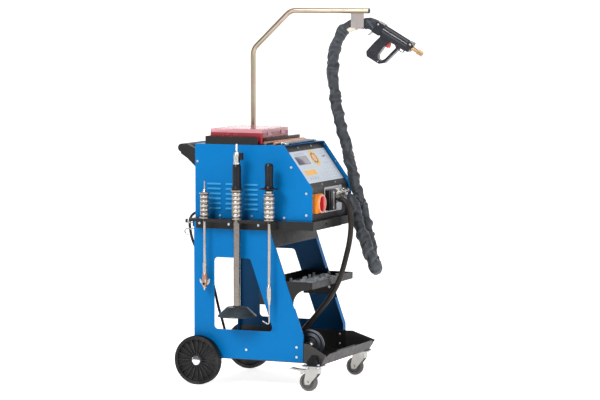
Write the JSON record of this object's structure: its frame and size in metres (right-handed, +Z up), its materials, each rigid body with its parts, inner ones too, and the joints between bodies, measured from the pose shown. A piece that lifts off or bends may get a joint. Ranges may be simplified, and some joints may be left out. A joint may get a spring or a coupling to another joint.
{
  "type": "spot welder",
  "caption": "Single-sided dent-pulling spot welder on a shelved trolley, with a gun hung from a bent mast, a side rail of slide hammers, a parts case, casters and fixed rear wheels",
  "frame": {"origin": "on the floor, under the middle of the bounding box of everything but the leads", "axes": "+X towards the control panel, +Y to the side away from the slide hammers, +Z up"},
  "size_m": [0.9321, 0.625, 1.525],
  "materials": {
    "blue_paint": "semi-gloss powder coat",
    "charcoal_paint": "fine textured powder coat",
    "black_paint": "satin powder coat",
    "zinc_steel": "bright zinc plate",
    "yellow_zinc": "iridescent yellow zinc plate",
    "chrome_cap": "polished",
    "turned_steel": "turned and nickel plated",
    "tinned_copper": "tinned",
    "copper": "bare copper",
    "core_steel": "varnished laminations",
    "label_film": "printed membrane",
    "orange_plastic": "satin",
    "red_plastic": "glossy",
    "clear_red": "clear tinted plastic",
    "black_plastic": "moulded",
    "board_green": "solder mask",
    "brass_nozzle": "machined",
    "black_rubber": "moulded",
    "grey_rubber": "moulded",
    "slate_textile": "wrinkled coated textile",
    "cable_rubber": "satin"
  },
  "bodies": {
    "trolley": {"side_panel_near": "blue_paint", "side_panel_far": "blue_paint", "upper_tray": "charcoal_paint", "tool_rail": "black_paint", "cross_brace": "charcoal_paint", "middle_shelf": "black_paint", "lower_tray": "charcoal_paint", "caster_brackets": "black_paint", "axle": "zinc_steel", "hub_caps": "chrome_cap", "screws": "zinc_steel", "cabinet_cover": "blue_paint", "cabinet_base": "charcoal_paint", "front_panel": "charcoal_paint", "control_label": "label_film", "isolator_base": "orange_plastic", "terminal_block": "black_plastic", "output_clamps": "tinned_copper", "transformer_core": "core_steel", "transformer_coils": "copper", "power_board": "board_green", "fan_frame": "black_plastic", "top_tray": "black_paint", "case_base": "red_plastic", "push_handle": "black_paint", "mast": "yellow_zinc", "cradle": "yellow_zinc", "gun_body": "black_plastic", "gun_nozzle": "brass_nozzle", "caster_plates": "zinc_steel", "slide_weights": "turned_steel", "loose_tools": "copper", "cable_hook": "black_paint", "mains_gland": "black_plastic", "sleeve": "slate_textile", "ground_cable": "cable_rubber", "ground_coil": "cable_rubber", "earth_disc": "cable_rubber", "mains_cable": "cable_rubber", "mains_coil": "cable_rubber", "mains_plug": "red_plastic"},
    "rear_wheel_near": {"rear_wheel_near": "black_rubber"},
    "rear_wheel_far": {"rear_wheel_far": "black_rubber"},
    "caster_near_fork": {"caster_near_fork": "zinc_steel"},
    "caster_near_wheel": {"caster_near_wheel": "grey_rubber"},
    "caster_near_brake": {"caster_near_brake": "zinc_steel"},
    "caster_far_fork": {"caster_far_fork": "zinc_steel"},
    "caster_far_wheel": {"caster_far_wheel": "grey_rubber"},
    "isolator_knob": {"isolator_knob": "red_plastic"},
    "fan_rotor": {"fan_rotor": "black_plastic"},
    "gun_trigger": {"gun_trigger": "red_plastic"},
    "case_lid": {"case_lid": "clear_red"},
    "claw_puller": {"claw_shaft": "turned_steel", "claw_head": "copper"},
    "vacuum_puller": {"vacuum_tube": "turned_steel", "vacuum_handle": "black_plastic", "vacuum_cup": "black_rubber"},
    "vacuum_lever": {"vacuum_lever": "black_plastic"},
    "hook_puller": {"hook_shaft": "turned_steel", "hook_handle": "black_plastic"}
  },
  "joints": [
    {"name": "rear_wheel_near_spin", "type": "hinge", "parent": "trolley", "child": "rear_wheel_near", "pos_m": [-0.35606, -0.2215, 0.1], "axis": [0, 1, 0], "continuous": true},
    {"name": "rear_wheel_far_spin", "type": "hinge", "parent": "trolley", "child": "rear_wheel_far", "pos_m": [-0.35606, 0.2785, 0.1], "axis": [0, 1, 0], "continuous": true},
    {"name": "caster_near_swivel", "type": "hinge", "parent": "trolley", "child": "caster_near_fork", "pos_m": [0.15494, -0.2165, 0.09], "axis": [0, 0, 1], "continuous": true},
    {"name": "caster_near_spin", "type": "hinge", "parent": "caster_near_fork", "child": "caster_near_wheel", "pos_m": [0.13094, -0.2165, 0.0375], "axis": [0, 1, 0], "continuous": true},
    {"name": "caster_far_swivel", "type": "hinge", "parent": "trolley", "child": "caster_far_fork", "pos_m": [0.15494, 0.2735, 0.09], "axis": [0, 0, 1], "continuous": true},
    {"name": "caster_far_spin", "type": "hinge", "parent": "caster_far_fork", "child": "caster_far_wheel", "pos_m": [0.13094, 0.2735, 0.0375], "axis": [0, 1, 0], "continuous": true},
    {"name": "caster_near_brake_press", "type": "hinge", "parent": "caster_near_fork", "child": "caster_near_brake", "pos_m": [0.13294, -0.2165, 0.082], "axis": [0, -1, 0], "range_deg": [0, 7]},
    {"name": "isolator_turn", "type": "hinge", "parent": "trolley", "child": "isolator_knob", "pos_m": [0.14094, -0.1115, 0.744], "axis": [-1, 0, 0], "range_deg": [0, 90]},
    {"name": "fan_spin", "type": "hinge", "parent": "trolley", "child": "fan_rotor", "pos_m": [-0.36656, 0.0985, 0.8], "axis": [1, 0, 0], "continuous": true},
    {"name": "trigger_pull", "type": "slide", "parent": "trolley", "child": "gun_trigger", "axis": [-0.866, 0, 0.5], "range_m": [0, 0.005], "stiffness_N_per_m": 600, "springref_m": -0.002},
    {"name": "case_lid_open", "type": "hinge", "parent": "trolley", "child": "case_lid", "pos_m": [-0.33806, -0.0265, 1.023], "axis": [0, -1, 0], "range_deg": [0, 105]},
    {"name": "claw_puller_lift", "type": "slide", "parent": "trolley", "child": "claw_puller", "axis": [0, 0, 1], "range_m": [0, 0.17]},
    {"name": "vacuum_puller_lift", "type": "slide", "parent": "trolley", "child": "vacuum_puller", "axis": [0, 0, 1], "range_m": [0, 0.11]},
    {"name": "vacuum_lever_turn", "type": "hinge", "parent": "vacuum_puller", "child": "vacuum_lever", "pos_m": [-0.16306, -0.2335, 0.934], "axis": [1, 0, 0], "range_deg": [0, 90]},
    {"name": "hook_puller_lift", "type": "slide", "parent": "trolley", "child": "hook_puller", "axis": [0, 0, 1], "range_m": [0, 0.2]}
  ]
}
